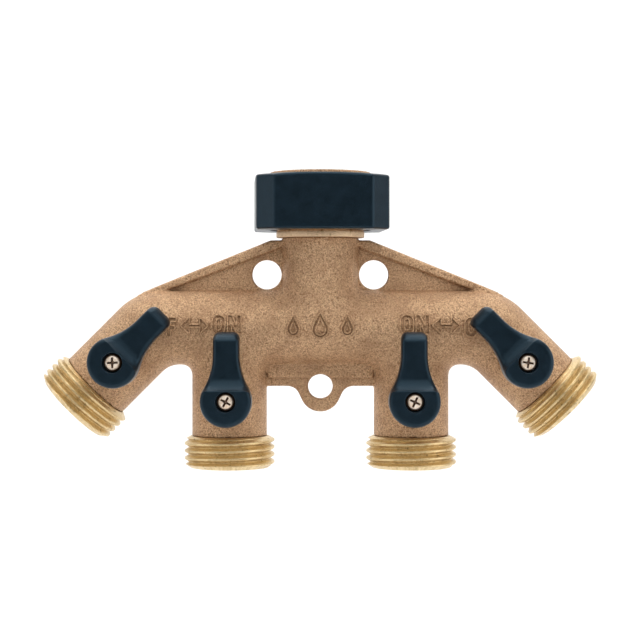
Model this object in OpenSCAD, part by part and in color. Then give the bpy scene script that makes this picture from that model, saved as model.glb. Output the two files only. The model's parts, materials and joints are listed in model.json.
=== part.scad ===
// Four-outlet garden hose splitter: a cast brass manifold hangs from a tap by a
// swivel nut, and four quarter-turn ball valves feed four male hose threads.
// Millimetres. +Z up, +X to the right, the levers face -Y.
// The origin is on the inlet axis, on the upper face of the hose washer, where
// the tap's spout seals.

/* [Manifold casting] */
// Drop from the hose washer's upper face to the header's axis
header_drop = 37.7; // [36.5:0.1:40]
// Outside diameter of the header tube
header_d = 22.6; // [22.4:0.1:23.6]
// Outside diameter of the four outlet legs
leg_d = 22.5; // [22.3:0.1:23.5]
// Outside diameter of the inlet neck
neck_d = 23; // [22.8:0.1:24]
// Bore of the header and of the neck
header_bore_d = 16.4; // [14:0.1:17]
// Distance from the inlet axis to each inner leg's axis
inner_x = 27.4; // [26.5:0.1:29]
// Distance from the inlet axis to where each outer leg turns down
outer_x = 50.2; // [49:0.1:54]
// Slope of the outer legs, down and outwards
outer_tilt = 45; // [40:1:50]
// Bend radius of the header's ends, on the tube's centre line
elbow_bend_r = 13.5; // [13:0.5:18]
// Height of the casting's neck above the header's axis
neck_top = 26.9; // [26:0.1:28]

/* [Outlets] */
// Length of an inner leg from the header's axis to its outlet fitting
inner_leg = 32.6; // [31.5:0.1:36]
// Length of an outer leg from the bend's corner to its outlet fitting
outer_leg = 24.9; // [24.5:0.1:28]
// Visible length of an outlet's hose thread
thread_l = 9.6; // [9.2:0.1:12]
// Major diameter of the outlets' hose thread
thread_d = 26.99; // [26.5:0.01:27.2]
// Pitch of the hose thread
thread_pitch = 2.209; // [2.1:0.001:2.3]
// Water bore at an outlet's mouth
outlet_bore_d = 16.4; // [14:0.1:18]

/* [Valves] */
// Distance from an outlet fitting back to its inner valve's pivot
inner_back = 11.3; // [11:0.1:12]
// Distance from an outlet fitting back to its outer valve's pivot
outer_back = 10.9; // [10.8:0.1:12]
// Diameter of the valve balls
ball_d = 15.5; // [15:0.1:15.6]
// Port through a ball
port_d = 9.8; // [8:0.1:10]
// Diameter of a valve's stem
stem_d = 6; // [5.6:0.1:6.2]
// Top of a stem's boss, in front of the port axis
boss_top = 15.6; // [15:0.1:16.5]

/* [Levers] */
// Diameter of a lever's round hub
hub_d = 15; // [14:0.1:16]
// Distance from the pivot to a lever's tip
lever_reach = 20.2; // [18:0.1:22]
// Width of a lever's handle
handle_w = 7.7; // [6.5:0.1:9]
// Thickness of a lever's hub, from back to front
hub_t = 7.6; // [7.4:0.1:9]
// Step from the hub's front down to the handle's front
hub_step = 2.4; // [1.5:0.1:3]
// Turn of each lever from open to shut, in degrees
lever_turn = 90; // [80:1:90]

/* [Inlet swivel] */
// Width of the grip across its flats
grip_w = 39.4; // [37:0.1:42]
// Height of the grip
grip_h = 16.6; // [16:0.1:17.5]
// Leg of the grip's corner facets
grip_corner = 5.4; // [4:0.1:7]
// Outside diameter of the threaded insert
insert_d = 30.3; // [30:0.1:32]
// Height of the insert above the washer's upper face
insert_top = 9; // [8.6:0.1:10]
// Thread crest diameter of the insert
insert_crest_d = 24.6; // [24.5:0.01:24.8]
// Outside diameter of the hose washer
washer_d = 25.4; // [25:0.1:26]
// Thickness of the hose washer
washer_t = 3; // [2.5:0.1:3.2]
// Outside diameter of the tailpiece's collar
collar_d = 26.6; // [25:0.1:28]

/* [Brackets] */
// Thickness of the brackets' plates
plate_t = 3.6; // [3:0.1:6]
// Thickness of the raised ribs on the brackets
rib_t = 6.4; // [6:0.1:9]
// Diameter of the two upper fixing holes
upper_hole_d = 8.8; // [6:0.1:9]
// Distance between the two upper fixing holes
upper_hole_gap = 32.2; // [32:0.1:34]
// Height of the upper fixing holes above the header's axis
upper_hole_z = 15.8; // [15.7:0.1:17]
// Diameter of the lower fixing hole
lower_hole_d = 7.4; // [5:0.1:8]
// Depth of the lower fixing hole below the header's axis
lower_hole_z = 17.8; // [17.5:0.1:19]

/* [Hidden] */
$fn = 96;
EPS = 0.01;
play = 0.06;              // radial clearance of the stems
slack = 0.25;             // clearance round the balls and under the swivel
wall_gap = 0.05;          // clearance of pieces that are screwed or pressed in

header_r = header_d / 2;
leg_r = leg_d / 2;
neck_r = neck_d / 2;
ball_r = ball_d / 2;
stem_r = stem_d / 2;
hub_r = hub_d / 2;

// Outlets, left to right
OUTER_LEFT = 0;
INNER_LEFT = 1;
INNER_RIGHT = 2;
OUTER_RIGHT = 3;
function is_outer(i) = i == OUTER_LEFT || i == OUTER_RIGHT;
function side(i) = i < 2 ? -1 : 1;
function leg_l(i) = is_outer(i) ? outer_leg : inner_leg;
function back(i) = is_outer(i) ? outer_back : inner_back;
function pivot_l(i) = leg_l(i) - back(i);

// Valve stack, in front of the port axis
chamber_r = ball_r + slack;
shoulder_base = ball_r + 0.2;
shoulder_t = 1.3;
thrust_t = 0.5;
shoulder_r = 3.45;
recess_r = 3.6;
recess_top = shoulder_base + shoulder_t + thrust_t + 0.05;
tang_w = 2.4;
tang_depth = 1.9;
stem_flat = 2.3;
stem_top = boss_top + 4.3;
boss_r = 6.9;
hub_back = boss_top + 0.3;
hub_front = hub_back + hub_t;
handle_front = hub_front - hub_step;
head_seat = stem_top + 1.3;
head_r = 2.7;
head_t = 1.9;
head_well_r = 2.95;
shank_r = 1.45;
shank_l = 5.8;
groove_r = 2.1;
o_ring_r = 0.46;
o_ring_at = [recess_top + 1.3, recess_top + 3.7];

// Quarter-turn stop: a peg on the boss runs in a slot under the hub
peg_at = 5.35;
peg_r = 0.9;
peg_h = 1.7;
slot_half = peg_r + 0.1;
slot_depth = 1.8;
peg_half_angle = asin(peg_r / peg_at) + 0.7;

// Lever outline: the handle's sides flare into the hub
handle_half = handle_w / 2;
flare_z = 13.7;
flare_r = (handle_half * handle_half + flare_z * flare_z - hub_r * hub_r)
    / (2 * (hub_r - handle_half));
flare_x = handle_half + flare_r;
tip_round = 2;
ridge_z = 3.2;            // straight front edge of the hub, above the pivot
ramp_r = 4.6;             // hollow from the hub's edge to the handle

// Seats and outlet fittings, outwards from the pivot
seat_near = 3.65;
seat_far = 6.9;
seat_r = chamber_r - wall_gap;
seat_bore_r = 5.2;
spigot_near = 4.4;
spigot_r = 8.85;
seal_r = 0.5;
seal_at = spigot_r + 0.6;
thread_crest_r = thread_d / 2;
thread_root_r = thread_crest_r - 1.2;
rim_chamfer = 0.9;

// Inlet, downwards from the washer's upper face
flange_top = -washer_t - wall_gap;
flange_t = 1.5;
flange_r = 12;
lip_top = flange_top - flange_t - slack;
insert_bottom = 29.5 - header_drop;
collar_top = 29.2 - header_drop;
collar_bottom = neck_top - header_drop;
swivel_tube_r = 9.6;
tail_bore_r = 7.6;
tail_l = 9.6;
relief_r = 13.4;
insert_r = insert_d / 2;
insert_crest_r = insert_crest_d / 2;
insert_root_r = insert_crest_r + 1.25;
grip_bottom = 29.1 - header_drop;
grip_crown = 0.8;
grip_yaw = 3.2;

// Brackets, from the header's axis
gusset_x = 14.9;
gusset_z = neck_top - 0.8;
gusset_slope = 0.405;
gusset_end = 52;
gusset_rib = 3.05;
bracket_z = 17.7;
bracket_rib_z = [11.4, 15.1];
bracket_rib_x = 16;
lug_z = 19.3;
lug_r = 6.1;
lug_flare_r = 3;

// ---- placing ----

// Puts children, drawn down from the header's axis, on leg i
module on_leg(i)
    translate([side(i) * (is_outer(i) ? outer_x : inner_x), 0, -header_drop])
        rotate([0, is_outer(i) ? -side(i) * outer_tilt : 0, 0]) children();

// Puts children, drawn about the valve's centre, on leg i
module on_valve(i) on_leg(i) translate([0, 0, -pivot_l(i)]) children();

// Turns children so that their +Z points to the front and their +Y points up
module to_front() rotate([90, 0, 0]) children();

// Turns children so that their +Z points out of the outlet
module outwards() rotate([180, 0, 0]) children();

// A cylinder from one height to another
module post(r, from, to) translate([0, 0, from]) cylinder(r = r, h = to - from);

module ring(r_in, r_out, from, to) difference() {
    post(r_out, from, to);
    post(r_in, from - 1, to + 1);
}

module o_ring(at, r) rotate_extrude() translate([at, 0]) circle(r = r, $fn = 32);

// Fills between a disc at the origin and a flare circle beside it, on both sides.
// The flare touches the disc, and its lowest or highest point is at y = flare.y.
module flare_web(disc_r, flare, r, edge_y, edge_x) {
    touch = disc_r / (disc_r + r) * flare;
    near = 0.9 * touch;   // inside the disc
    far = 1.08 * touch;   // inside the flare circle
    bite = 0.03;          // lets the flare cross the disc's edge instead of grazing it
    difference() {
        polygon([[-near.x, near.y], [near.x, near.y], [far.x, far.y],
            [edge_x, edge_y], [-edge_x, edge_y], [-far.x, far.y]]);
        for (s = [-1, 1]) translate([s * flare.x, flare.y]) circle(r = r + bite);
    }
}

// ---- manifold casting ----

bend_back = elbow_bend_r * tan(outer_tilt / 2);   // from a bend's corner to its ends
bend_tube_r = header_r + 0.06;                    // a bend stands just proud of its tube

module header_tube()
    rotate([0, 90, 0]) cylinder(r = header_r, h = 2 * (outer_x - bend_back), center = true);

module header_bend(s)
    translate([s * (outer_x - bend_back), 0, -elbow_bend_r]) rotate([90, 0, 0])
        rotate([0, 0, s > 0 ? 90 - outer_tilt : 90])
            rotate_extrude(angle = outer_tilt) translate([elbow_bend_r, 0]) circle(r = bend_tube_r);

module leg_tube(i) {
    bend = is_outer(i) ? bend_back - 0.5 : 0;
    translate([0, 0, -leg_l(i)]) cylinder(r = leg_r, h = leg_l(i) - bend);
}

module stem_boss() to_front() {
    post(boss_r, 0, boss_top);
    rotate(0) translate([0, -peg_at, 0]) post(peg_r, boss_top - 1, boss_top + peg_h);
}

// The upper web's slanted edge, at a distance below it: its height over the inlet axis
function slant_z(x) = gusset_z - (x - gusset_x) * gusset_slope;

module upper_web() to_front() {
    foot = 6;
    neck_side = 8;
    linear_extrude(plate_t, center = true)
        polygon([[-gusset_end, foot], [-gusset_end, slant_z(gusset_end)],
            [-gusset_x, gusset_z], [gusset_x, gusset_z],
            [gusset_end, slant_z(gusset_end)], [gusset_end, foot]]);
    linear_extrude(rib_t, center = true)
        polygon([[-gusset_end, slant_z(gusset_end)], [-gusset_x, gusset_z],
            [gusset_x, gusset_z], [gusset_end, slant_z(gusset_end)],
            [gusset_end, slant_z(gusset_end) - gusset_rib],
            [neck_side, slant_z(neck_side) - gusset_rib],
            [-neck_side, slant_z(neck_side) - gusset_rib],
            [-gusset_end, slant_z(gusset_end) - gusset_rib]]);
}

module lower_bracket() to_front() {
    linear_extrude(plate_t, center = true) {
        translate([-inner_x, -bracket_z]) square([2 * inner_x, bracket_z - 6]);
        translate([0, -lug_z]) {
            circle(r = lug_r);
            drop = lug_z - bracket_z - lug_flare_r;
            reach = lug_r + lug_flare_r;
            flare_web(lug_r, [sqrt(reach * reach - drop * drop), drop], lug_flare_r,
                lug_z - bracket_z, sqrt(reach * reach - drop * drop));
            translate([-lug_r * 0.9, 0]) square([lug_r * 1.8, lug_z - bracket_z + EPS]);
        }
    }
    linear_extrude(rib_t, center = true)
        translate([-bracket_rib_x, -bracket_rib_z[1]])
            square([2 * bracket_rib_x, bracket_rib_z[1] - bracket_rib_z[0] + 2]);
}

module leg_bores(i) {
    outwards() {
        post(seat_bore_r, -1, pivot_l(i));
        post(chamber_r, pivot_l(i) - seat_far, pivot_l(i) + spigot_near);
        post(spigot_r + wall_gap, pivot_l(i) + spigot_near, leg_l(i) + 1);
        post(seal_at + seal_r + wall_gap, leg_l(i) - 2 * seal_r - wall_gap, leg_l(i) + 1);
    }
    translate([0, 0, -pivot_l(i)]) to_front() {
        post(recess_r, 0, recess_top);
        post(stem_r + play, 0, boss_top + 1);
    }
}

module manifold_body() color("peru") difference() {
    union() {
        translate([0, 0, -header_drop]) {
            union() {
                header_tube();
                upper_web();
                post(neck_r, 0, neck_top);
                lower_bracket();
            }
            for (s = [-1, 1]) header_bend(s);
        }
        for (i = [0 : 3]) {
            on_leg(i) leg_tube(i);
            on_valve(i) stem_boss();
        }
    }
    translate([0, 0, -header_drop]) {
        bore_r = header_bore_d / 2;
        bore_end = outer_x - 7;
        rotate([0, 90, 0]) cylinder(r = bore_r, h = 2 * bore_end, center = true);
        for (s = [-1, 1]) translate([s * bore_end, 0, 0]) sphere(r = bore_r);
        post(bore_r, 0, neck_top - tail_l);
        post(swivel_tube_r + wall_gap, neck_top - tail_l, neck_top + 1);
        post(swivel_tube_r + 1.3, neck_top - 2 * seal_r - wall_gap, neck_top + 1);
        to_front() {
            for (s = [-1, 1])
                translate([s * upper_hole_gap / 2, upper_hole_z, 0])
                    cylinder(d = upper_hole_d, h = 40, center = true);
            translate([0, -lower_hole_z, 0]) cylinder(d = lower_hole_d, h = 40, center = true);
        }
    }
    for (i = [0 : 3]) on_leg(i) leg_bores(i);
}

// ---- inlet swivel ----

module inlet_tailpiece() color("goldenrod") rotate_extrude() polygon([
    [tail_bore_r, collar_bottom - tail_l + wall_gap], [tail_bore_r, flange_top],
    [flange_r, flange_top], [flange_r, flange_top - flange_t],
    [swivel_tube_r, flange_top - flange_t], [swivel_tube_r, collar_top],
    [collar_d / 2 - 0.6, collar_top], [collar_d / 2, collar_top - 0.6],
    [collar_d / 2, collar_bottom], [swivel_tube_r, collar_bottom],
    [swivel_tube_r, collar_bottom - tail_l + wall_gap]]);

module tailpiece_seal() color("dimgray")
    translate([0, 0, collar_bottom - seal_r - wall_gap / 2]) o_ring(swivel_tube_r + 0.65, seal_r);

// Points of one thread ridge from height z: root, flank, crest, flank
function ridge(root, crest, z) = [
    [root, z], [crest, z + 0.3125 * thread_pitch],
    [crest, z + 0.4375 * thread_pitch], [root, z + 0.75 * thread_pitch]];

function ridges(root, crest, z, count) =
    [for (k = [0 : count - 1]) each ridge(root, crest, z + k * thread_pitch)];

module swivel_insert() {
    thread_n = floor((insert_top - 0.3) / thread_pitch);
    thread_z = 0.1;
    color("goldenrod") rotate_extrude() polygon(concat(
        [[swivel_tube_r + slack, insert_bottom], [swivel_tube_r + slack, lip_top],
            [relief_r, lip_top], [relief_r, -EPS], [insert_crest_r, 0]],
        [[insert_crest_r, thread_z]],
        ridges(insert_crest_r, insert_root_r, thread_z, thread_n),
        [[insert_crest_r, insert_top - 0.6], [insert_crest_r + 0.6, insert_top],
            [insert_r, insert_top], [insert_r, insert_bottom]]));
}

module grip_outline() {
    half = grip_w / 2;
    inner = half - grip_corner;
    polygon([[half, -inner], [half, inner], [inner, half], [-inner, half],
        [-half, inner], [-half, -inner], [-inner, -half], [inner, -half]]);
}

module swivel_grip() color("midnightblue") difference() {
    intersection() {
        rotate(grip_yaw) translate([0, 0, grip_bottom]) linear_extrude(grip_h) grip_outline();
        rotate_extrude() polygon([[0, grip_bottom], [grip_w / 2, grip_bottom],
            [grip_w / 2 + 5, grip_bottom + 1.6], [grip_w / 2 + 5, grip_bottom + grip_h - 1.4 * grip_crown],
            [insert_r, grip_bottom + grip_h], [0, grip_bottom + grip_h]]);
    }
    post(insert_r + wall_gap, grip_bottom - 1, grip_bottom + grip_h + 1);
}

module hose_washer() color("black") ring(7.9, washer_d / 2, -washer_t, 0);

// ---- outlets ----

module outlet(i) on_valve(i) color("gold") outwards() {
    seam = back(i);
    end = seam + thread_l;
    thread_n = floor((thread_l - 0.5) / thread_pitch);
    rotate_extrude() polygon(concat(
        [[seat_bore_r, seat_far + wall_gap], [seat_r + wall_gap, seat_far + wall_gap],
            [seat_r + wall_gap, spigot_near + wall_gap], [spigot_r, spigot_near + wall_gap],
            [spigot_r, seam], [thread_root_r, seam]],
        ridges(thread_root_r, thread_crest_r, seam + 0.35, thread_n),
        [[thread_root_r, end - rim_chamfer], [thread_root_r - rim_chamfer, end],
            [outlet_bore_d / 2 + 0.5, end], [outlet_bore_d / 2, end - 0.5],
            [outlet_bore_d / 2, seam + 2], [seat_bore_r, seam + 2 - (outlet_bore_d / 2 - seat_bore_r)]]));
}

module outlet_seal(i) on_valve(i) color("dimgray") outwards()
    translate([0, 0, back(i) - seal_r - wall_gap / 2]) o_ring(seal_at, seal_r);

module seat() color("white") difference() {
    ring(seat_bore_r, seat_r, seat_near, seat_far);
    sphere(r = ball_r + wall_gap);
}

module inner_seat(i) on_valve(i) seat();
module outer_seat(i) on_valve(i) outwards() seat();

// ---- valves ----

module ball(i) on_valve(i) color("silver") difference() {
    sphere(r = ball_r);
    cylinder(d = port_d, h = 2 * ball_d, center = true);
    to_front() translate([0, 0, ball_r])
        cube([2 * ball_d, tang_w + 0.1, 2 * (tang_depth + wall_gap)], center = true);
}

module stem(i) on_valve(i) color("goldenrod") to_front() difference() {
    union() {
        intersection() {
            post(shoulder_r - 0.2, ball_r - tang_depth, shoulder_base + EPS);
            cube([ball_d, tang_w, 4 * ball_d], center = true);
        }
        post(shoulder_r, shoulder_base, shoulder_base + shoulder_t);
        post(stem_r, shoulder_base, boss_top + 0.1);
        intersection() {
            post(stem_r, boss_top, stem_top);
            cube([2 * stem_flat, stem_d, 4 * stem_top], center = true);
        }
    }
    for (z = o_ring_at) ring(groove_r, stem_r + 1, z - 0.5, z + 0.5);
    post(shank_r + wall_gap, head_seat - shank_l - 0.3, stem_top + 1);
}

module stem_seals(i) on_valve(i) color("dimgray") to_front()
    for (z = o_ring_at) translate([0, 0, z]) o_ring(groove_r + 0.02 + o_ring_r, o_ring_r);

module thrust_washer(i) on_valve(i) color("white") to_front()
    ring(stem_r + 0.02, shoulder_r, recess_top - wall_gap - thrust_t, recess_top - wall_gap);

module lever_outline() {
    circle(r = hub_r);
    flare_web(hub_r, [flare_x, flare_z], flare_r, flare_z, handle_half);
    translate([-handle_half, flare_z - EPS])
        square([handle_w, lever_reach - tip_round - flare_z + EPS]);
    translate([-handle_half + tip_round, flare_z])
        square([handle_w - 2 * tip_round, lever_reach - flare_z]);
    for (s = [-1, 1])
        translate([s * (handle_half - tip_round), lever_reach - tip_round]) circle(r = tip_round);
}

// Space in front of the handle, with a hollow ramp up to the hub's straight edge
module handle_cut() {
    ramp_x = sqrt(ramp_r * ramp_r - pow(ramp_r - hub_step, 2));
    translate([0, ridge_z + ramp_x, handle_front + ramp_r]) rotate([0, 90, 0])
        cylinder(r = ramp_r, h = 2 * hub_d, center = true);
    translate([-hub_d, ridge_z + ramp_x, handle_front])
        cube([2 * hub_d, 2 * lever_reach, 2 * ramp_r]);
}

// The slot's angles run from the peg at rest to the peg at full turn
module stop_slot(turn) {
    from = -90 - peg_half_angle - (turn > 0 ? turn : 0);
    translate([0, 0, hub_back - 1]) rotate(from)
        rotate_extrude(angle = abs(turn) + 2 * peg_half_angle)
            translate([peg_at - slot_half, 0]) square([2 * slot_half, slot_depth + 1]);
}

module lever(i) on_valve(i) color("midnightblue") to_front() difference() {
    translate([0, 0, hub_back]) linear_extrude(hub_t) lever_outline();
    handle_cut();
    intersection() {
        post(stem_r + wall_gap, hub_back - 1, stem_top + wall_gap);
        cube([2 * (stem_flat + wall_gap), ball_d, 4 * stem_top], center = true);
    }
    post(shank_r + 0.2, hub_back, head_seat + 1);
    post(head_well_r, head_seat, hub_front + 1);
    stop_slot(-side(i) * lever_turn);
}

module screw(i) on_valve(i) color("tan") to_front() difference() {
    union() {
        post(shank_r, head_seat - shank_l, head_seat + EPS);
        post(head_r, head_seat, head_seat + head_t - 0.5);
        translate([0, 0, head_seat + head_t - 0.5]) cylinder(r1 = head_r, r2 = head_r - 0.7, h = 0.5);
    }
    for (a = [45, 135]) rotate(a)
        translate([0, 0, head_seat + head_t]) cube([2.9, 0.7, 2.4], center = true);
}

// ---- node switch ----

manifold_body();
inlet_tailpiece();
tailpiece_seal();
swivel_insert();
swivel_grip();
hose_washer();

outlet(OUTER_LEFT);  // outer_left_outlet
outlet_seal(OUTER_LEFT);  // outer_left_outlet_seal
inner_seat(OUTER_LEFT);  // outer_left_inner_seat
outer_seat(OUTER_LEFT);  // outer_left_outer_seat
ball(OUTER_LEFT);  // outer_left_ball
stem(OUTER_LEFT);  // outer_left_stem
stem_seals(OUTER_LEFT);  // outer_left_stem_seals
thrust_washer(OUTER_LEFT);  // outer_left_thrust_washer
lever(OUTER_LEFT);  // outer_left_lever
screw(OUTER_LEFT);  // outer_left_screw

outlet(INNER_LEFT);  // inner_left_outlet
outlet_seal(INNER_LEFT);  // inner_left_outlet_seal
inner_seat(INNER_LEFT);  // inner_left_inner_seat
outer_seat(INNER_LEFT);  // inner_left_outer_seat
ball(INNER_LEFT);  // inner_left_ball
stem(INNER_LEFT);  // inner_left_stem
stem_seals(INNER_LEFT);  // inner_left_stem_seals
thrust_washer(INNER_LEFT);  // inner_left_thrust_washer
lever(INNER_LEFT);  // inner_left_lever
screw(INNER_LEFT);  // inner_left_screw

outlet(INNER_RIGHT);  // inner_right_outlet
outlet_seal(INNER_RIGHT);  // inner_right_outlet_seal
inner_seat(INNER_RIGHT);  // inner_right_inner_seat
outer_seat(INNER_RIGHT);  // inner_right_outer_seat
ball(INNER_RIGHT);  // inner_right_ball
stem(INNER_RIGHT);  // inner_right_stem
stem_seals(INNER_RIGHT);  // inner_right_stem_seals
thrust_washer(INNER_RIGHT);  // inner_right_thrust_washer
lever(INNER_RIGHT);  // inner_right_lever
screw(INNER_RIGHT);  // inner_right_screw

outlet(OUTER_RIGHT);  // outer_right_outlet
outlet_seal(OUTER_RIGHT);  // outer_right_outlet_seal
inner_seat(OUTER_RIGHT);  // outer_right_inner_seat
outer_seat(OUTER_RIGHT);  // outer_right_outer_seat
ball(OUTER_RIGHT);  // outer_right_ball
stem(OUTER_RIGHT);  // outer_right_stem
stem_seals(OUTER_RIGHT);  // outer_right_stem_seals
thrust_washer(OUTER_RIGHT);  // outer_right_thrust_washer
lever(OUTER_RIGHT);  // outer_right_lever
screw(OUTER_RIGHT);  // outer_right_screw
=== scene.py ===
"""Looks of the four-outlet hose splitter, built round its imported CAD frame.

Shapes are written in millimetres in the frame's own axes: +Z up the inlet, +X to the right, and the levers
face -Y. Rounded castings and mouldings are signed distance functions, which net() turns into meshes.
"""

import json
import math

import bpy
import numpy as np
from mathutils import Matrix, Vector


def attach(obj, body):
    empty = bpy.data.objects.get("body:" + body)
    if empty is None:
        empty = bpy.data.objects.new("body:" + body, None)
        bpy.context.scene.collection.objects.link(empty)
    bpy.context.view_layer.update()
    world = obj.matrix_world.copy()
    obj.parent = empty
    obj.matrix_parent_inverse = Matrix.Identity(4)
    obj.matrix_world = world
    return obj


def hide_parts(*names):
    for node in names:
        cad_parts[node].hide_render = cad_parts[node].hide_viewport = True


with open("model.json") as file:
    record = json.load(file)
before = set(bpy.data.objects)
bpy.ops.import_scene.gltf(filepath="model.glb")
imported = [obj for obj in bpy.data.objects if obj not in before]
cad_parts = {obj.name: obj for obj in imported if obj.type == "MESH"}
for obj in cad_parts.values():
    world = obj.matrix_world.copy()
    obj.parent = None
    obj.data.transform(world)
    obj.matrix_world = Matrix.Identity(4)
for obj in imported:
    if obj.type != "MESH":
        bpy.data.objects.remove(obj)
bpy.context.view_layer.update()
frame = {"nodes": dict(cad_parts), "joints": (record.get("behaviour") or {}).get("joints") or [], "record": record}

MM = 0.001
PORTS = ("outer_left", "inner_left", "inner_right", "outer_right")
MOUNTS = {m["name"]: m for m in frame["record"]["mounts"]}
JOINTS = {j["name"]: j for j in frame["joints"]}


def mm(point):
    """A point of the frame, in millimetres."""
    return np.array(point, float) / MM


# ---- driving sizes, in millimetres ----

HEADER_Z = mm(MOUNTS["upper_holes"]["pos_m"])[2] - 15.8
HEADER_R, LEG_R, NECK_R = 11.3, 11.25, 11.5
INNER_X, OUTER_X = 27.4, 50.2
INNER_LEG, OUTER_LEG = 32.6, 24.9
OUTSIDE_BEND, INSIDE_BEND = 8.7, 19.0
NECK_TOP, WEB_TOP = 26.9, 26.1
BOSS_R, BOSS_TOP = 6.9, 15.6
PEG_AT, PEG_R, PEG_TOP = 5.35, 0.9, 17.3
PLATE_HALF, RIB_HALF = 1.8, 3.2
UPPER_HOLE = (16.1, 15.8, 4.4)
LOWER_HOLE = (0.0, -17.8, 3.7)

THREAD_R, THREAD_ROOT, PITCH = 13.56, 12.3, 2.209
THREAD_L = 9.6
MARK_HALF, MARK_RISE = 0.34, 0.62

S45 = math.sqrt(0.5)


# ---- meshes ----

def make_object(name, points, faces, body, normals=None, smooth_angle=None, uv=None):
    """A mesh object from points in millimetres, riding on a CAD body."""
    mesh = bpy.data.meshes.new(name)
    points = np.asarray(points, float)
    faces = np.asarray(faces, np.int32)
    mesh.vertices.add(len(points))
    mesh.vertices.foreach_set("co", (points * MM).astype(np.float32).ravel())
    corners = faces.shape[1]
    mesh.loops.add(faces.size)
    mesh.loops.foreach_set("vertex_index", faces.ravel())
    mesh.polygons.add(len(faces))
    mesh.polygons.foreach_set("loop_start", np.arange(0, faces.size, corners, dtype=np.int32))
    mesh.polygons.foreach_set("use_smooth", np.ones(len(faces), bool))
    mesh.update(calc_edges=True)
    mesh.validate()
    if normals is not None:
        mesh.normals_split_custom_set_from_vertices(normals.tolist())
    if smooth_angle is not None:
        mesh.set_sharp_from_angle(angle=math.radians(smooth_angle))
    if uv is not None:
        layer = mesh.uv_layers.new(name="lathe")
        index = np.empty(len(mesh.loops), np.int32)
        mesh.loops.foreach_get("vertex_index", index)
        layer.data.foreach_set("uv", uv[index].astype(np.float32).ravel())
    piece = bpy.data.objects.new(name, mesh)
    bpy.context.scene.collection.objects.link(piece)
    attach(piece, body)
    return piece


def lathe_uv(points):
    """U goes round the lathe's axis and back, so that it meets itself, and V along it and outwards."""
    angle = np.abs(np.arctan2(points[:, 1], points[:, 0])) / math.pi
    return np.stack([angle, points[:, 2] + 0.7 * np.hypot(points[:, 0], points[:, 1])], axis=1)


def slope(sdf, points, eps=0.02):
    """Gradient of a distance function at points."""
    columns = []
    for axis in range(3):
        step = np.zeros(3)
        step[axis] = eps
        ahead, behind = (points + step).T, (points - step).T
        columns.append((sdf(*ahead) - sdf(*behind)) / (2 * eps))
    return np.stack(columns, axis=1)


def net(sdf, low, high, step):
    """Vertices, quads and normals of a distance function's zero surface, by surface nets."""
    axes = [np.arange(lo, hi + step, step) for lo, hi in zip(low, high)]
    field = sdf(axes[0][:, None, None], axes[1][None, :, None], axes[2][None, None, :]).astype(np.float32)
    inside = field < 0
    shape = field.shape
    mixed = np.zeros([n - 1 for n in shape], bool)
    corners = [(i, j, k) for i in (0, 1) for j in (0, 1) for k in (0, 1)]

    def at(array, c):
        return array[c[0]:shape[0] - 1 + c[0], c[1]:shape[1] - 1 + c[1], c[2]:shape[2] - 1 + c[2]]

    first = at(inside, corners[0])
    for c in corners[1:]:
        mixed |= at(inside, c) != first
    cells = np.argwhere(mixed)
    values = np.stack([field[tuple((cells + c).T)] for c in corners], axis=1)
    total, crossings = np.zeros((len(cells), 3)), np.zeros(len(cells))
    for a, ca in enumerate(corners):
        for b, cb in enumerate(corners):
            if b <= a or sum(abs(p - q) for p, q in zip(ca, cb)) != 1:
                continue
            va, vb = values[:, a], values[:, b]
            crosses = (va < 0) != (vb < 0)
            t = np.where(crosses, va / np.where(crosses, va - vb, 1), 0)
            point = np.array(ca) + t[:, None] * (np.array(cb) - np.array(ca))
            total += point * crosses[:, None]
            crossings += crosses
    points = np.array(low) + step * (cells + total / crossings[:, None])

    ids = np.full(mixed.shape, -1, np.int32)
    ids[tuple(cells.T)] = np.arange(len(cells))
    quads = []
    for axis in range(3):
        other = [a for a in range(3) if a != axis]
        lower = [slice(None)] * 3
        upper = [slice(None)] * 3
        lower[axis], upper[axis] = slice(None, -1), slice(1, None)
        start, end = inside[tuple(lower)], inside[tuple(upper)]
        edges = np.argwhere(start != end)
        keep = np.all([(edges[:, o] > 0) & (edges[:, o] < shape[o] - 1) for o in other], axis=0)
        edges = edges[keep]
        ring = []
        for du, dv in ((-1, -1), (0, -1), (0, 0), (-1, 0)):
            cell = edges.copy()
            cell[:, other[0]] += du
            cell[:, other[1]] += dv
            ring.append(ids[tuple(cell.T)])
        ring = np.stack(ring, axis=1)
        flip = start[tuple(edges.T)] == (axis == 1)
        ring[flip] = ring[flip][:, ::-1]
        quads.append(ring)
    for _ in range(3):
        gradient = slope(sdf, points)
        length2 = np.maximum((gradient ** 2).sum(1), 0.05)
        move = -(sdf(*points.T) / length2)[:, None] * gradient
        limit = np.maximum(np.linalg.norm(move, axis=1, keepdims=True) / (0.5 * step), 1)
        points = points + move / limit
    gradient = slope(sdf, points)
    normals = gradient / np.maximum(np.linalg.norm(gradient, axis=1, keepdims=True), 1e-9)
    return points, np.concatenate(quads), normals


def lathe(rows, count):
    """Vertices and quads of a closed ring of rows, each row a (radius, height) pair of arrays or numbers."""
    angle = np.arange(count) * 2 * math.pi / count
    points = []
    for radius, height in rows:
        radius = np.broadcast_to(radius, count)
        points.append(np.stack([radius * np.cos(angle), radius * np.sin(angle),
                                np.broadcast_to(height, count)], axis=1))
    total = len(rows)
    i, j = np.meshgrid(np.arange(total), np.arange(count), indexing="ij")
    i2, j2 = (i + 1) % total, (j + 1) % count
    quads = np.stack([i * count + j, i * count + j2, i2 * count + j2, i2 * count + j], axis=-1)
    return np.concatenate(points), quads.reshape(-1, 4)


# ---- distance functions ----

def smooth_min(a, b, k):
    """Union whose inner corners are filled over about k."""
    h = np.maximum(k - np.abs(a - b), 0) / k
    return np.minimum(a, b) - h * h * k * 0.25


def smooth_max(a, b, k):
    return -smooth_min(-a, -b, k)


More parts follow.
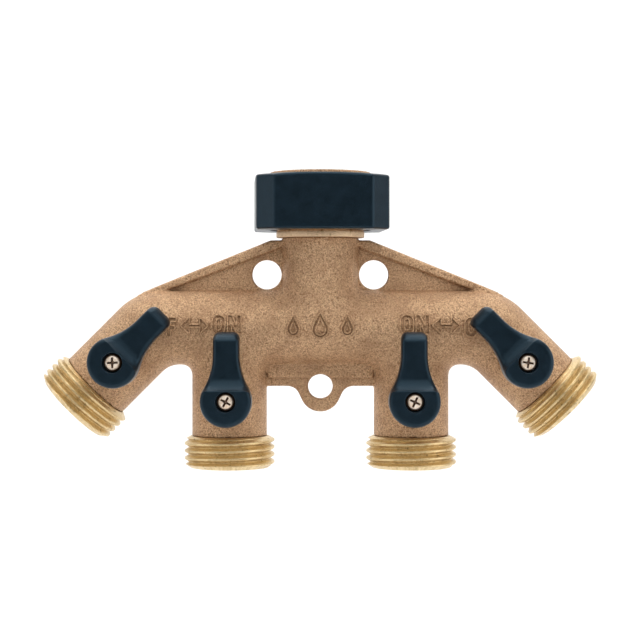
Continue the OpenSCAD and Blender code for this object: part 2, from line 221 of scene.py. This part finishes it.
def round_max(a, b, r):
    """Intersection whose outer corner has radius r."""
    return np.minimum(np.maximum(a, b), -r) + np.hypot(np.maximum(a + r, 0), np.maximum(b + r, 0))


def polygon_distance(x, y, corners):
    """Signed distance in a plane from a polygon's outline, negative inside."""
    best, sign = np.full(np.broadcast(x, y).shape, 1e9), np.ones(np.broadcast(x, y).shape)
    for (ax, ay), (bx, by) in zip(corners, corners[1:] + corners[:1]):
        ex, ey = bx - ax, by - ay
        wx, wy = x - ax, y - ay
        t = np.clip((wx * ex + wy * ey) / (ex * ex + ey * ey), 0, 1)
        best = np.minimum(best, (wx - ex * t) ** 2 + (wy - ey * t) ** 2)
        above, below = y >= ay, y < by
        left = ex * wy > ey * wx
        flip = (above & below & left) | (~above & ~below & ~left)
        sign = np.where(flip, -sign, sign)
    return sign * np.sqrt(best)


def leg_frame(port):
    """A port's valve centre, and its axes: right, up along the leg, and front."""
    centre = mm(JOINTS[port + "_turn"]["pos_m"])
    up = -np.array(MOUNTS[port + "_thread"]["axis"], float)
    front = np.array([0.0, -1.0, 0.0])
    return centre, np.stack([np.cross(up, front), up, front])


def placed(points, port):
    """Points drawn about a valve's centre, with x right, y up the leg and z to the front."""
    centre, axes = leg_frame(port)
    return centre + points @ axes


# ---- the casting ----

def bend_line(x, z, bend):
    """Distance in the XZ plane from the header's centre line, which bends down into the outer leg."""
    back = bend * math.tan(math.radians(22.5))
    cx, cz = OUTER_X - back, -bend
    along = ((x - OUTER_X) - z) * S45
    across = ((x - OUTER_X) + z) * S45
    arc = np.abs(np.hypot(x - cx, z - cz) - bend)
    return np.where((x > cx) & (along < back), arc, np.where(x <= cx, np.abs(z), np.abs(across)))


def slant(x):
    return WEB_TOP - (x - 14.9) * 0.405


WEB = [(0, 4), (0, WEB_TOP), (14.9, WEB_TOP), (53.5, slant(53.5)), (53.5, 4)]
WEB_RIB = [(0, WEB_TOP - 1.6), (0, WEB_TOP), (14.9, WEB_TOP), (49.5, slant(49.5)), (54.8, 9.6),
           (54.0, slant(54.0) - 2.2), (15, slant(15) - 3.45), (8, slant(8) - 3.45)]
BRACKET = [(-1, -7), (24, -7), (24, -17.7), (-1, -17.7)]
BRACKET_RIB = [(-1, -8), (-1, -15.1), (16, -15.1), (16, -11.4), (14, -8)]


def slab(outline, y, half, r):
    """A plate of an outline with rounded edges."""
    return round_max(outline, np.abs(y) - half, r)


def casting(x, y, z):
    side = x
    x, z = np.abs(x), z - HEADER_Z
    along = ((x - OUTER_X) - z) * S45
    across = ((x - OUTER_X) + z) * S45
    # a round outer corner, and a fuller fillet in the crook
    line = np.minimum(bend_line(x, z, OUTSIDE_BEND), bend_line(x, z, INSIDE_BEND))
    body = np.maximum(np.hypot(line, y) - HEADER_R, along - OUTER_LEG)
    leg = np.maximum(np.maximum(np.hypot(x - INNER_X, y) - LEG_R, z), -INNER_LEG - z)
    body = smooth_min(body, leg, 3.6)
    neck = np.maximum(np.maximum(np.hypot(x, y) - NECK_R, -z), z - NECK_TOP)
    body = smooth_min(body, neck, 3.2)

    web = slab(polygon_distance(x, z, WEB), y, PLATE_HALF, 0.3)
    rib = slab(polygon_distance(x, z, WEB_RIB), y, RIB_HALF, 0.7)
    plate = polygon_distance(x, z, BRACKET)
    lug = np.hypot(x, z + 19.3) - 6.1
    bracket = slab(smooth_min(plate, lug, 4.5), y, PLATE_HALF, 0.4)
    bracket_rib = slab(polygon_distance(x, z, BRACKET_RIB), y, RIB_HALF, 0.6)
    webs = smooth_min(web, rib, 0.35)
    webs = np.minimum(webs, smooth_min(bracket, bracket_rib, 0.3))
    body = smooth_min(body, webs, 0.7)
    body = np.maximum(body, z - NECK_TOP)

    for pivot_x, pivot_z in VALVE_AT:
        stalk = np.maximum(np.hypot(x - pivot_x, z - pivot_z) - BOSS_R, np.maximum(y, -BOSS_TOP - y))
        body = smooth_min(body, stalk, 1.6)
    for port in PORTS:
        centre, axes = leg_frame(port)
        peg = centre - PEG_AT * axes[1]
        pin = np.hypot(side - peg[0], z + HEADER_Z - peg[2]) - PEG_R
        body = np.minimum(body, np.maximum(pin, np.maximum(y + 12, -PEG_TOP - y)))

    for hx, hz, r in (UPPER_HOLE, LOWER_HOLE):
        body = smooth_max(body, r - np.hypot(x - hx, z - hz), 0.35)
    for bore in waterways(x, y, z, along, across):
        body = np.maximum(body, -bore)
    return body


def waterways(x, y, z, along, outer_across):
    """The casting's bores, as the CAD has them."""
    yield np.maximum(np.hypot(y, z) - 8.2, x - 46)
    yield np.maximum(np.hypot(x, y) - 8.2, np.maximum(-z, z - NECK_TOP - 1))
    yield np.maximum(np.hypot(x, y) - 9.65, 17.3 - z)
    for across, down, leg, back in ((x - INNER_X, -z, INNER_LEG, 11.3),
                                    (outer_across, along, OUTER_LEG, 10.9)):
        radius = np.hypot(across, y)
        pivot = leg - back
        yield np.maximum(radius - 5.2, np.maximum(-down, down - pivot))
        yield np.maximum(radius - 8.0, np.maximum(pivot - 6.9 - down, down - pivot - 4.4))
        yield np.maximum(radius - 8.9, pivot + 4.4 - down)
        yield np.maximum(radius - 10.0, leg - 1.05 - down)
        stem = np.hypot(across, down - pivot)
        yield np.maximum(stem - 3.06, y)
        yield np.maximum(stem - 3.6, np.maximum(y, -9.8 - y))


VALVE_AT = [(abs(p[0]), p[2] - HEADER_Z) for p in
            (mm(JOINTS[n + "_turn"]["pos_m"]) for n in ("inner_right", "outer_right"))]


def build_casting():
    points, quads, normals = net(casting, (-80, -18, HEADER_Z - 34), (80, 13, HEADER_Z + 28), 0.45)
    piece = make_object("manifold_casting", points, quads, "manifold", normals)
    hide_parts("manifold_body")
    return piece


# ---- raised marks on the header ----

def letter_o(w, h, r):
    """Closed outline of a rounded O."""
    ends = [(w / 2 - r, h / 2 - r, 0), (-w / 2 + r, h / 2 - r, 90), (-w / 2 + r, -h / 2 + r, 180),
            (w / 2 - r, -h / 2 + r, 270)]
    line = [(cx + r * math.cos(math.radians(a0 + a)), cy + r * math.sin(math.radians(a0 + a)))
            for cx, cy, a0 in ends for a in (0, 30, 60, 90)]
    return line + line[:1]


def letter_n(w, h, t):
    a, b, c, d = -w / 2, w / 2, -h / 2, h / 2
    return [(a, c), (a, d), (a + t, d), (b - t, c + 0.42 * h), (b - t, d), (b, d), (b, c), (b - t, c),
            (a + t, d - 0.42 * h), (a + t, c), (a, c)]


def letter_f(w, h, t):
    a, b, c, d = -w / 2, w / 2, -h / 2, h / 2
    return [(a, c), (a, d), (b, d), (b, d - t), (a + t, d - t), (a + t, 0.45), (b - 0.4, 0.45),
            (b - 0.4, 0.45 - t), (a + t, 0.45 - t), (a + t, c), (a, c)]


def double_arrow(w, h):
    head, half = 2.6, 0.42
    right = [(w / 2 - head, half), (w / 2 - head - 0.2, h / 2), (w / 2, 0), (w / 2 - head - 0.2, -h / 2),
             (w / 2 - head, -half)]
    left = [(-x, -y) for x, y in right]
    return right + left + right[:1]


def water_drop(r, tall):
    """A drop's outline: a round foot and a pointed top."""
    rise = math.asin(r / (tall - r))
    arc = [(r * math.cos(a), r * math.sin(a)) for a in np.linspace(rise, -math.pi - rise, 25)]
    return [(0.0, tall - r)] + arc + [(0.0, tall - r)]


def raised_line(line, at):
    """Points and quads of a round ridge that follows a line over the header's front."""
    dense = []
    for (ax, ay), (bx, by) in zip(line, line[1:]):
        count = max(1, round(math.hypot(bx - ax, by - ay) / 0.22))
        dense += [(ax + (bx - ax) * k / count, ay + (by - ay) * k / count) for k in range(count)]
    flat = np.array(dense)
    for _ in range(2):
        flat = (np.roll(flat, 1, axis=0) + 2 * flat + np.roll(flat, -1, axis=0)) / 4
    x = at[0] + flat[:, 0]
    z = HEADER_Z + at[1] + flat[:, 1]
    y = np.full(len(x), -14.0)
    for _ in range(60):
        y = y + casting(x, y, z)
    centre = np.stack([x, y, z], axis=1)
    along = np.roll(centre, -1, axis=0) - np.roll(centre, 1, axis=0)
    along /= np.linalg.norm(along, axis=1, keepdims=True)
    out = slope(casting, centre)
    out /= np.linalg.norm(out, axis=1, keepdims=True)
    across = np.cross(along, out)
    points, n = [], len(centre)
    turns = 8
    for a in np.arange(turns) * 2 * math.pi / turns:
        points.append(centre + MARK_HALF * math.cos(a) * across + (MARK_RISE * math.sin(a) - 0.03) * out)
    points = np.stack(points, axis=1).reshape(-1, 3)
    i, j = np.meshgrid(np.arange(n), np.arange(turns), indexing="ij")
    i2, j2 = (i + 1) % n, (j + 1) % turns
    quads = np.stack([i * turns + j, i * turns + j2, i2 * turns + j2, i2 * turns + j], axis=-1)
    return points, quads.reshape(-1, 4)


def build_marks():
    """ON and OFF with arrows, in plain outlined capitals, and three plain water drops."""
    high = 5.6
    marks = []
    for s in (-1, 1):
        word_x = s * 27.8
        marks += [(letter_o(3.9, high, 1.7), (word_x - 2.2, 0.9)),
                  (letter_o(1.5, high - 2.4, 0.7), (word_x - 2.2, 0.9)),
                  (letter_n(4.0, high, 1.25), (word_x + 2.4, 0.9)),
                  (double_arrow(8.4, 5.0), (s * 37.2, 0.6))]
    for x in (-44.0, -47.6):
        marks.append((letter_f(2.9, high, 1.2), (x, 0.2)))
    marks += [(letter_o(3.9, high, 1.7), (44.6, 0.2)), (letter_o(1.5, high - 2.4, 0.7), (44.6, 0.2))]
    for x, r, tall in ((-8.0, 1.9, 6.0), (0.0, 2.4, 7.6), (8.0, 1.9, 6.0)):
        marks.append((water_drop(r, tall), (x, -0.4)))
        marks.append((water_drop(r - 0.95, tall - 2.6), (x, -0.6)))
    all_points, all_quads, base = [], [], 0
    for line, at in marks:
        points, quads = raised_line(line, at)
        all_points.append(points)
        all_quads.append(quads + base)
        base += len(points)
    piece = make_object("raised_marks", np.concatenate(all_points), np.concatenate(all_quads), "manifold")
    return piece


# ---- threads, outlets and the inlet's turned pieces ----

def tooth(phase):
    """Thread depth, 0 at the root and 1 at the crest, over one pitch."""
    away = np.abs((phase % 1.0) - 0.5) * 2
    t = np.clip((0.95 - away) / 0.72, 0, 1)
    return t * t * (3 - 2 * t) * 0.35 + t * 0.65


def build_outlet(port):
    count = 144
    angle = np.arange(count) / count
    seam = 11.3 if port.startswith("inner") else 10.9
    end = seam + THREAD_L
    rows = [(8.85, seam - 0.02), (11.45, seam)]
    for a in np.arange(seam + 0.04, end - 0.02, 0.08):
        depth = tooth((a - seam - 0.15) / PITCH - angle)
        radius = THREAD_ROOT + (THREAD_R - THREAD_ROOT) * depth
        radius = np.minimum(radius, 11.6 + (a - seam) * 1.9)
        radius = np.minimum(radius, 11.75 + (end - a) * 1.5)
        rows.append((radius, a))
    rows += [(11.5, end), (8.9, end), (8.45, end - 0.12), (8.2, end - 0.5), (8.2, seam + 2),
             (5.2, seam - 1), (5.2, 6.95), (8.0, 6.95), (8.0, 4.45), (8.85, 4.45)]
    points, quads = lathe(rows, count)
    uv = lathe_uv(points)
    # the lathe's +z is outwards, which is down the leg
    points = np.stack([points[:, 0], -points[:, 2], points[:, 1]], axis=1)
    piece = make_object(port + "_hose_thread", placed(points, port), quads, "manifold",
                        smooth_angle=38, uv=uv)
    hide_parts(port + "_outlet")
    return piece


def build_insert():
    count = 480
    angle = np.arange(count) / count
    lip, bottom, top = -4.8, 29.5 + HEADER_Z, 9.0
    rows = [(9.85, bottom + 0.3), (9.85, lip), (13.4, lip), (13.4, -0.3)]
    for a in np.arange(-0.1, top - 0.1, 0.1):
        depth = tooth(a / PITCH - angle + 0.5)
        radius = 13.55 - 1.25 * depth
        radius = np.maximum(radius, 12.2 + (a - top + 1.2))
        rows.append((radius, a))
    knurl = 0.30 * np.abs((angle * 104 % 1.0) * 2 - 1)
    rows += [(13.5, top), (14.1, top), (14.6 - knurl, top - 1.4 * knurl),
             (15.1 - knurl, top - 0.15 - 1.4 * knurl), (15.2 - knurl, top - 0.4 - knurl),
             (15.2 - knurl, 7.2), (15.1, 7.0), (15.1, bottom + 0.5), (14.8, bottom), (10.2, bottom)]
    points, quads = lathe(rows, count)
    piece = make_object("inlet_nut_insert", points, quads, "swivel_nut",
                        smooth_angle=38, uv=lathe_uv(points))
    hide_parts("swivel_insert")
    return piece


def build_tailpiece():
    top, bottom = 29.2 + HEADER_Z, NECK_TOP + HEADER_Z
    seat = -3.05
    rows = [(7.6, bottom - 9.5), (7.6, seat - 0.4), (8.0, seat), (11.7, seat), (12.0, seat - 0.3),
            (12.0, seat - 1.3), (11.8, seat - 1.5), (9.6, seat - 1.5), (9.6, top), (12.75, top),
            (12.9, top - 0.05), (13.25, top - 0.5), (13.3, top - 0.7), (13.3, bottom + 0.35),
            (13.22, bottom + 0.1), (13.0, bottom + 0.02), (9.6, bottom), (9.6, bottom - 9.5)]
    points, quads = lathe(rows[::-1], 160)
    piece = make_object("inlet_tail", points, quads[:, ::-1], "manifold",
                        smooth_angle=30, uv=lathe_uv(points))
    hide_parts("inlet_tailpiece")
    return piece


# ---- moulded pieces ----

GRIP_W, GRIP_CORNER, GRIP_H, GRIP_BASE, GRIP_TURN = 39.4, 5.4, 16.6, 29.1, 3.2


def grip(x, y, z):
    turn = math.radians(GRIP_TURN)
    bottom = GRIP_BASE + HEADER_Z
    c, s = math.cos(turn), math.sin(turn)
    u, v = np.abs(c * x + s * y), np.abs(c * y - s * x)
    half = GRIP_W / 2
    flats = round_max(u - half, v - half, 0.3)
    sides = round_max(flats, (u + v - 2 * half + GRIP_CORNER) * S45, 0.5)
    radius = np.hypot(x, y)
    crown = z - bottom - GRIP_H + np.maximum(radius - 17.0, 0) ** 2 * 0.014
    shell = round_max(sides, crown, 0.7)
    shell = round_max(shell, bottom - z, 0.7)
    return np.maximum(shell, 15.18 - radius)


def build_grip():
    bottom = GRIP_BASE + HEADER_Z
    reach, margin = 21.8, 0.8
    points, quads, normals = net(grip, (-reach, -reach, bottom - margin),
                                 (reach, reach, bottom + GRIP_H + margin), 0.35)
    piece = make_object("inlet_nut_grip", points, quads, "swivel_nut", normals)
    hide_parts("swivel_grip")
    return piece


HUB_R, HANDLE_HALF, REACH = 7.5, 3.85, 20.2
HUB_BACK, HUB_FRONT, HANDLE_FRONT = 15.9, 23.5, 21.1
FLARE_Y = 13.7
FLARE_R = (HANDLE_HALF ** 2 + FLARE_Y ** 2 - HUB_R ** 2) / (2 * (HUB_R - HANDLE_HALF))
RIDGE_Y, RAMP_R = 3.2, 4.6
SCREW_SEAT = 21.2


def lever(x, y, z):
    """A lever at rest, about its pivot: x right, y towards the tip, z to the front."""
    side = np.abs(x)
    hub = np.hypot(x, y) - HUB_R
    flare = FLARE_R - np.hypot(side - HANDLE_HALF - FLARE_R, y - FLARE_Y)
    handle = np.where(y < FLARE_Y, flare, side - HANDLE_HALF)
    touch_y = HUB_R / (HUB_R + FLARE_R) * FLARE_Y
    handle = round_max(handle, y - REACH, 2.0)
    outline = np.minimum(hub, np.maximum(handle, touch_y - y))

    step = HUB_FRONT - HANDLE_FRONT
    ramp_y = RIDGE_Y + math.sqrt(RAMP_R ** 2 - (RAMP_R - step) ** 2)
    ramp = np.hypot(y - ramp_y, z - HANDLE_FRONT - RAMP_R) - RAMP_R
    above = np.maximum(HANDLE_FRONT - z, ramp_y - y)
    cut = np.minimum(ramp, above)
    front = round_max(z - HUB_FRONT, -cut, 0.12)
    tip = (y - REACH + 2.3) * 0.66 + (z - HANDLE_FRONT) * 0.75
    front = round_max(front, tip, 0.3)
    bevel = (outline + front + 0.85) * S45
    solid = round_max(round_max(outline, front, 0.25), bevel, 0.4)
    solid = round_max(solid, HUB_BACK - z, 0.35)

    radius = np.hypot(x, y)
    well = np.maximum(radius - 2.95, SCREW_SEAT - z)
    solid = smooth_max(solid, -well, 0.25)
    socket = np.maximum(np.maximum(radius - 3.05, side - 2.35), z - 19.95)
    solid = np.maximum(solid, -socket)
    solid = np.maximum(solid, 1.65 - radius)
    return solid


def stop_slot(sign):
    """The lever's back slot, in which the casting's stop peg runs; sign is the way that the lever turns."""
    def cut(x, y, z):
        ring = np.abs(np.hypot(x, y) - PEG_AT) - PEG_R - 0.1
        # the peg is below the pivot at rest, and the lever's own turn carries the slot past it
        reach = np.degrees(np.arctan2(-sign * x, -y))
        sector = np.maximum(-11.0 - reach, reach - 101.0) * math.pi / 180 * PEG_AT
        return np.maximum(np.maximum(ring, sector), z - HUB_BACK - 1.8)
    return cut


def build_lever(port):
    slot_cut = stop_slot(1 if "left" in port else -1)
    points, quads, normals = net(lambda x, y, z: np.maximum(lever(x, y, z), -slot_cut(x, y, z)),
                                 (-8, -8, HUB_BACK - 0.6), (8, 21, HUB_FRONT + 0.6), 0.22)
    _, axes = leg_frame(port)
    piece = make_object(port + "_handle", placed(points, port), quads, port + "_valve", normals @ axes)
    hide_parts(port + "_lever")
    return piece


def screw_head(x, y, z):
    """A pan head with a cross recess, and its shank."""
    radius = np.hypot(x, y)
    dome = np.sqrt(x * x + y * y + (z - SCREW_SEAT + 5.4) ** 2) - 7.2
    head = round_max(round_max(radius - 2.65, dome, 1.1), SCREW_SEAT - z, 0.15)
    shank = np.maximum(radius - 1.45, np.maximum(z - SCREW_SEAT - 0.2, SCREW_SEAT - 5.8 - z))
    depth = SCREW_SEAT + 1.8 - z
    u, v = (x + y) * S45, (x - y) * S45
    wing = 0.30 - 0.05 * depth
    reach = 1.85 - 0.75 * depth
    cross = np.minimum(np.maximum(np.abs(u) - wing, np.abs(v) - reach),
                       np.maximum(np.abs(v) - wing, np.abs(u) - reach))
    cross = np.maximum(smooth_min(cross, radius - 0.55 + 0.2 * depth, 0.3), depth - 1.5)
    return smooth_max(np.minimum(head, shank), -cross, 0.1)


def build_screws():
    points, quads, normals = net(screw_head, (-3, -3, 15), (3, 3, 23.8), 0.09)
    turns = {"outer_left": 2, "inner_left": 17, "inner_right": 20, "outer_right": -8}
    for port in PORTS:
        a = math.radians(turns[port])
        spin = np.array([[math.cos(a), math.sin(a), 0], [-math.sin(a), math.cos(a), 0], [0, 0, 1]])
        _, axes = leg_frame(port)
        piece = make_object(port + "_handle_screw", placed(points @ spin, port), quads,
                            port + "_valve", normals @ spin @ axes)
        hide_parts(port + "_screw")
        piece.data.materials.append(MATERIALS["screw"])


# ---- materials ----

class Nodes:
    """Short calls for a material's node tree."""

    def __init__(self, name):
        self.material = bpy.data.materials.new(name)
        self.material.use_nodes = True
        self.tree = self.material.node_tree
        self.shader = self.tree.nodes["Principled BSDF"]
        self.place = self.add("ShaderNodeTexCoord").outputs["Object"]

    def add(self, kind, inputs=None, **settings):
        made = self.tree.nodes.new(kind)
        for key, value in settings.items():
            setattr(made, key, value)
        for key, value in (inputs or {}).items():
            self.join(value, made.inputs[key])
        return made

    def join(self, value, socket):
        if isinstance(value, bpy.types.NodeSocket):
            self.tree.links.new(value, socket)
        else:
            socket.default_value = value

    def noise(self, size, detail=3.0, rough=0.55, at=None):
        """Noise from 0 to 1 whose lumps are about size millimetres."""
        made = self.add("ShaderNodeTexNoise", {"Vector": at or self.place, "Scale": 1 / (size * MM),
                                               "Detail": detail, "Roughness": rough})
        return made.outputs["Fac"]

    def span(self, value, low, high, to_low=0.0, to_high=1.0):
        """Value carried from low..high to to_low..to_high, and held at the ends."""
        made = self.add("ShaderNodeMapRange", {"Value": value, "From Min": low, "From Max": high,
                                               "To Min": to_low, "To Max": to_high})
        return made.outputs["Result"]

    def mix(self, share, a, b):
        made = self.add("ShaderNodeMix", data_type="RGBA")
        self.join(share, made.inputs["Factor"])
        self.join(a, made.inputs["A"])
        self.join(b, made.inputs["B"])
        return made.outputs["Result"]

    def bump(self, height, distance, strength=1.0, under=None):
        """A bump of distance millimetres."""
        inputs = {"Height": height, "Distance": distance * MM, "Strength": strength}
        if under is not None:
            inputs["Normal"] = under
        return self.add("ShaderNodeBump", inputs).outputs["Normal"]

    def finish(self, **sockets):
        for name, value in sockets.items():
            self.join(value, self.shader.inputs[name.replace("_", " ")])
        return self.material


def rgb(r, g, b):
    return (r, g, b, 1.0)


def cast_brass():
    n = Nodes("cast_brass")
    grain = n.noise(0.36, 2.0, 0.7)
    pits = n.noise(0.6, 1.0, 0.5)
    cloud = n.noise(6, 4.0, 0.65)
    light, mid, dark = rgb(0.82, 0.555, 0.335), rgb(0.35, 0.190, 0.095), rgb(0.19, 0.095, 0.043)
    colour = n.mix(n.span(grain, 0.30, 0.66), mid, light)
    colour = n.mix(n.span(pits, 0.50, 0.26, 0.0, 0.7), colour, dark)
    colour = n.mix(n.span(cloud, 0.44, 0.66, 0.0, 0.45), colour, rgb(0.36, 0.20, 0.105))
    # painted shade: ambient occlusion darkens the colour toward dark brown in creases, crooks and hollows, where
    # shade falls
    corner = n.add("ShaderNodeAmbientOcclusion", {"Distance": 2.2 * MM}, samples=8)
    colour = n.mix(n.span(corner.outputs["AO"], 0.25, 0.85, 0.7, 0.0), colour, rgb(0.19, 0.095, 0.042))
    lumps = n.bump(pits, 0.36, 1.0)
    normal = n.bump(grain, 0.38, 1.0, lumps)
    rough = n.span(grain, 0.3, 0.7, 0.56, 0.42)
    return n.finish(Base_Color=colour, Metallic=0.72, Roughness=rough, Normal=normal)


def turned_brass(name, base, shade, rough_low, rough_high):
    """Brass with fine lathe lines, which follow each piece's UV map: U round the piece, V along it in mm."""
    n = Nodes(name)
    uv = n.add("ShaderNodeUVMap", uv_map="lathe").outputs["UV"]
    stretch = n.add("ShaderNodeMapping", {"Vector": uv, "Scale": (9.0, 1.0, 1.0)}).outputs["Vector"]
    lines = n.add("ShaderNodeTexNoise", {"Vector": stretch, "Scale": 4.5, "Detail": 2.0,
                                         "Roughness": 0.7}).outputs["Fac"]
    stain = n.noise(1.6, 3.0, 0.65)
    colour = n.mix(n.span(lines, 0.35, 0.65), base, shade)
    colour = n.mix(n.span(stain, 0.60, 0.72, 0.0, 0.8), colour, rgb(0.20, 0.12, 0.05))
    normal = n.bump(lines, 0.03, 0.8)
    rough = n.span(stain, 0.3, 0.7, rough_low, rough_high)
    return n.finish(Base_Color=colour, Metallic=0.8, Roughness=rough, Normal=normal)


def navy_plastic():
    n = Nodes("navy_plastic")
    grain = n.noise(0.45, 3.0, 0.6)
    cloud = n.noise(4, 3.0, 0.65)
    colour = n.mix(n.span(cloud, 0.35, 0.7), rgb(0.0020, 0.0048, 0.0080), rgb(0.0036, 0.0084, 0.0140))
    normal = n.bump(grain, 0.07, 0.8)
    rough = n.span(cloud, 0.3, 0.7, 0.30, 0.38)
    n.shader.inputs["Specular Tint"].default_value = rgb(0.45, 0.76, 1.0)
    n.shader.inputs["Specular IOR Level"].default_value = 0.42
    return n.finish(Base_Color=colour, Roughness=rough, Normal=normal)


def rubber():
    n = Nodes("black_rubber")
    grain = n.noise(0.4, 2.0)
    colour = n.mix(n.span(grain, 0.3, 0.7), rgb(0.012, 0.012, 0.012), rgb(0.022, 0.022, 0.021))
    return n.finish(Base_Color=colour, Roughness=n.span(grain, 0.3, 0.7, 0.6, 0.75),
                    Normal=n.bump(grain, 0.02, 0.6))


def white_plastic():
    n = Nodes("white_seat_plastic")
    grain = n.noise(0.8, 2.0)
    colour = n.mix(n.span(grain, 0.3, 0.7), rgb(0.78, 0.78, 0.75), rgb(0.84, 0.84, 0.81))
    return n.finish(Base_Color=colour, Roughness=n.span(grain, 0.3, 0.7, 0.32, 0.42))


def polished_ball():
    n = Nodes("plated_ball")
    haze = n.noise(3, 3.0)
    colour = n.mix(n.span(haze, 0.3, 0.7), rgb(0.70, 0.70, 0.71), rgb(0.78, 0.78, 0.79))
    return n.finish(Base_Color=colour, Metallic=1.0, Roughness=n.span(haze, 0.3, 0.7, 0.08, 0.16))


def plated_screw():
    n = Nodes("plated_screw")
    haze = n.noise(0.8, 3.0)
    colour = n.mix(n.span(haze, 0.35, 0.65), rgb(0.95, 0.84, 0.72), rgb(0.80, 0.62, 0.46))
    # painted shade: ambient occlusion darkens the colour to near black in the cross recess and round the head
    # where it sits in the lever's well
    recess = n.add("ShaderNodeAmbientOcclusion", {"Distance": 1.2 * MM}, samples=8)
    colour = n.mix(n.span(recess.outputs["AO"], 0.45, 0.85, 1.0, 0.0), colour, rgb(0.12, 0.055, 0.025))
    return n.finish(Base_Color=colour, Metallic=0.6, Roughness=n.span(haze, 0.3, 0.7, 0.36, 0.5),
                    Normal=n.bump(n.noise(0.3), 0.02, 0.6))


MATERIALS = {
    "cast": cast_brass(),
    "turned": turned_brass("turned_brass", rgb(0.80, 0.60, 0.40), rgb(0.62, 0.43, 0.26), 0.48, 0.58),
    "knurled": turned_brass("knurled_brass", rgb(0.42, 0.27, 0.155), rgb(0.30, 0.18, 0.095), 0.45, 0.56),
    "bright": turned_brass("bright_brass", rgb(0.78, 0.61, 0.34), rgb(0.58, 0.41, 0.19), 0.27, 0.40),
    "navy": navy_plastic(),
    "rubber": rubber(),
    "white": white_plastic(),
    "ball": polished_ball(),
    "screw": plated_screw(),
}
SLOT_MATERIAL = {"cast_brass": "cast", "turned_brass": "turned", "bright_brass": "bright",
                 "navy_plastic": "navy", "rubber": "rubber", "white_plastic": "white",
                 "plated_ball": "ball", "plated_screw": "screw"}


def dress(piece, key):
    piece.data.materials.clear()
    piece.data.materials.append(MATERIALS[key])


# ---- camera, light and floor ----

def aim(thing, at):
    thing.rotation_euler = (Vector(at) - thing.location).to_track_quat("-Z", "Y").to_euler()


def build_camera():
    distance, width = 0.520, 0.1933
    sensor = 36
    camera = bpy.data.cameras.new("camera")
    camera.sensor_width = sensor
    camera.lens = sensor * distance / width
    camera.shift_x, camera.shift_y = -0.003125, -0.0390625
    holder = bpy.data.objects.new("camera", camera)
    holder.location = (0.0005, -distance, (HEADER_Z + 9.7) * MM)
    holder.rotation_euler = (math.pi / 2, 0, 0)
    bpy.context.scene.collection.objects.link(holder)
    bpy.context.scene.camera = holder


def add_light(name, place, size, power, at=(0, 0, -0.04)):
    light = bpy.data.lights.new(name, "AREA")
    light.shape = "RECTANGLE"
    light.size, light.size_y = size
    light.energy = power
    holder = bpy.data.objects.new(name, light)
    holder.location = place
    bpy.context.scene.collection.objects.link(holder)
    aim(holder, at)


def build_stage():
    """A pale floor that curves up into a wall behind."""
    low, back, turn = HEADER_Z * MM - 0.14, 0.45, 0.25
    line = [(-1.2, low)] + [(back - turn + turn * math.sin(a), low + turn - turn * math.cos(a))
                            for a in np.linspace(0, math.pi / 2, 17)] + [(back, low + 1.6)]
    points = [(x / MM, y / MM, z / MM) for x in (-1.6, 1.6) for y, z in line]
    n = len(line)
    faces = [(i, i + 1, n + i + 1, n + i) for i in range(n - 1)]
    mesh = bpy.data.meshes.new("floor")
    mesh.from_pydata([tuple(c * MM for c in p) for p in points], [], faces)
    mesh.polygons.foreach_set("use_smooth", [True] * len(faces))
    floor = bpy.data.objects.new("floor", mesh)
    bpy.context.scene.collection.objects.link(floor)
    n = Nodes("floor")
    tone = n.noise(60, 2.0)
    colour = n.mix(n.span(tone, 0.3, 0.7), rgb(0.90, 0.90, 0.90), rgb(0.92, 0.92, 0.92))
    floor.data.materials.append(n.finish(Base_Color=colour, Roughness=0.9))


def build_lights():
    add_light("top", (0.0, -0.32, 0.66), (1.2, 0.80), 5.6)
    add_light("left", (-0.86, -0.32, 0.0), (0.72, 0.9), 2.5)
    add_light("right", (0.86, -0.32, 0.0), (0.72, 0.9), 3.9)
    add_light("low", (0.0, -0.62, -0.40), (0.9, 0.22), 1.2)
    add_light("front", (0.0, -1.3, 0.62), (0.9, 0.4), 2.6)
    add_light("wall", (0.0, 0.12, 0.75), (1.6, 0.3), 5, (0, 0.45, 0.0))
    world = bpy.data.worlds.new("studio")
    world.use_nodes = True
    world.node_tree.nodes["Background"].inputs["Color"].default_value = (1, 1, 1, 1)
    world.node_tree.nodes["Background"].inputs["Strength"].default_value = 0.08
    bpy.context.scene.world = world


# ---- put together ----

bpy.context.scene.view_settings.view_transform = "Standard"
build_camera()
build_lights()
build_stage()

dress(build_casting(), "cast")
dress(build_marks(), "cast")
for port in PORTS:
    dress(build_outlet(port), "bright")
    dress(build_lever(port), "navy")
dress(build_insert(), "knurled")
dress(build_tailpiece(), "turned")
dress(build_grip(), "navy")
build_screws()
slots = {s["node"]: s["material_slot"] for s in frame["record"]["subparts"]}
for name, node in frame["nodes"].items():
    node.data.materials.clear()
    node.data.materials.append(MATERIALS[SLOT_MATERIAL[slots[name]]])
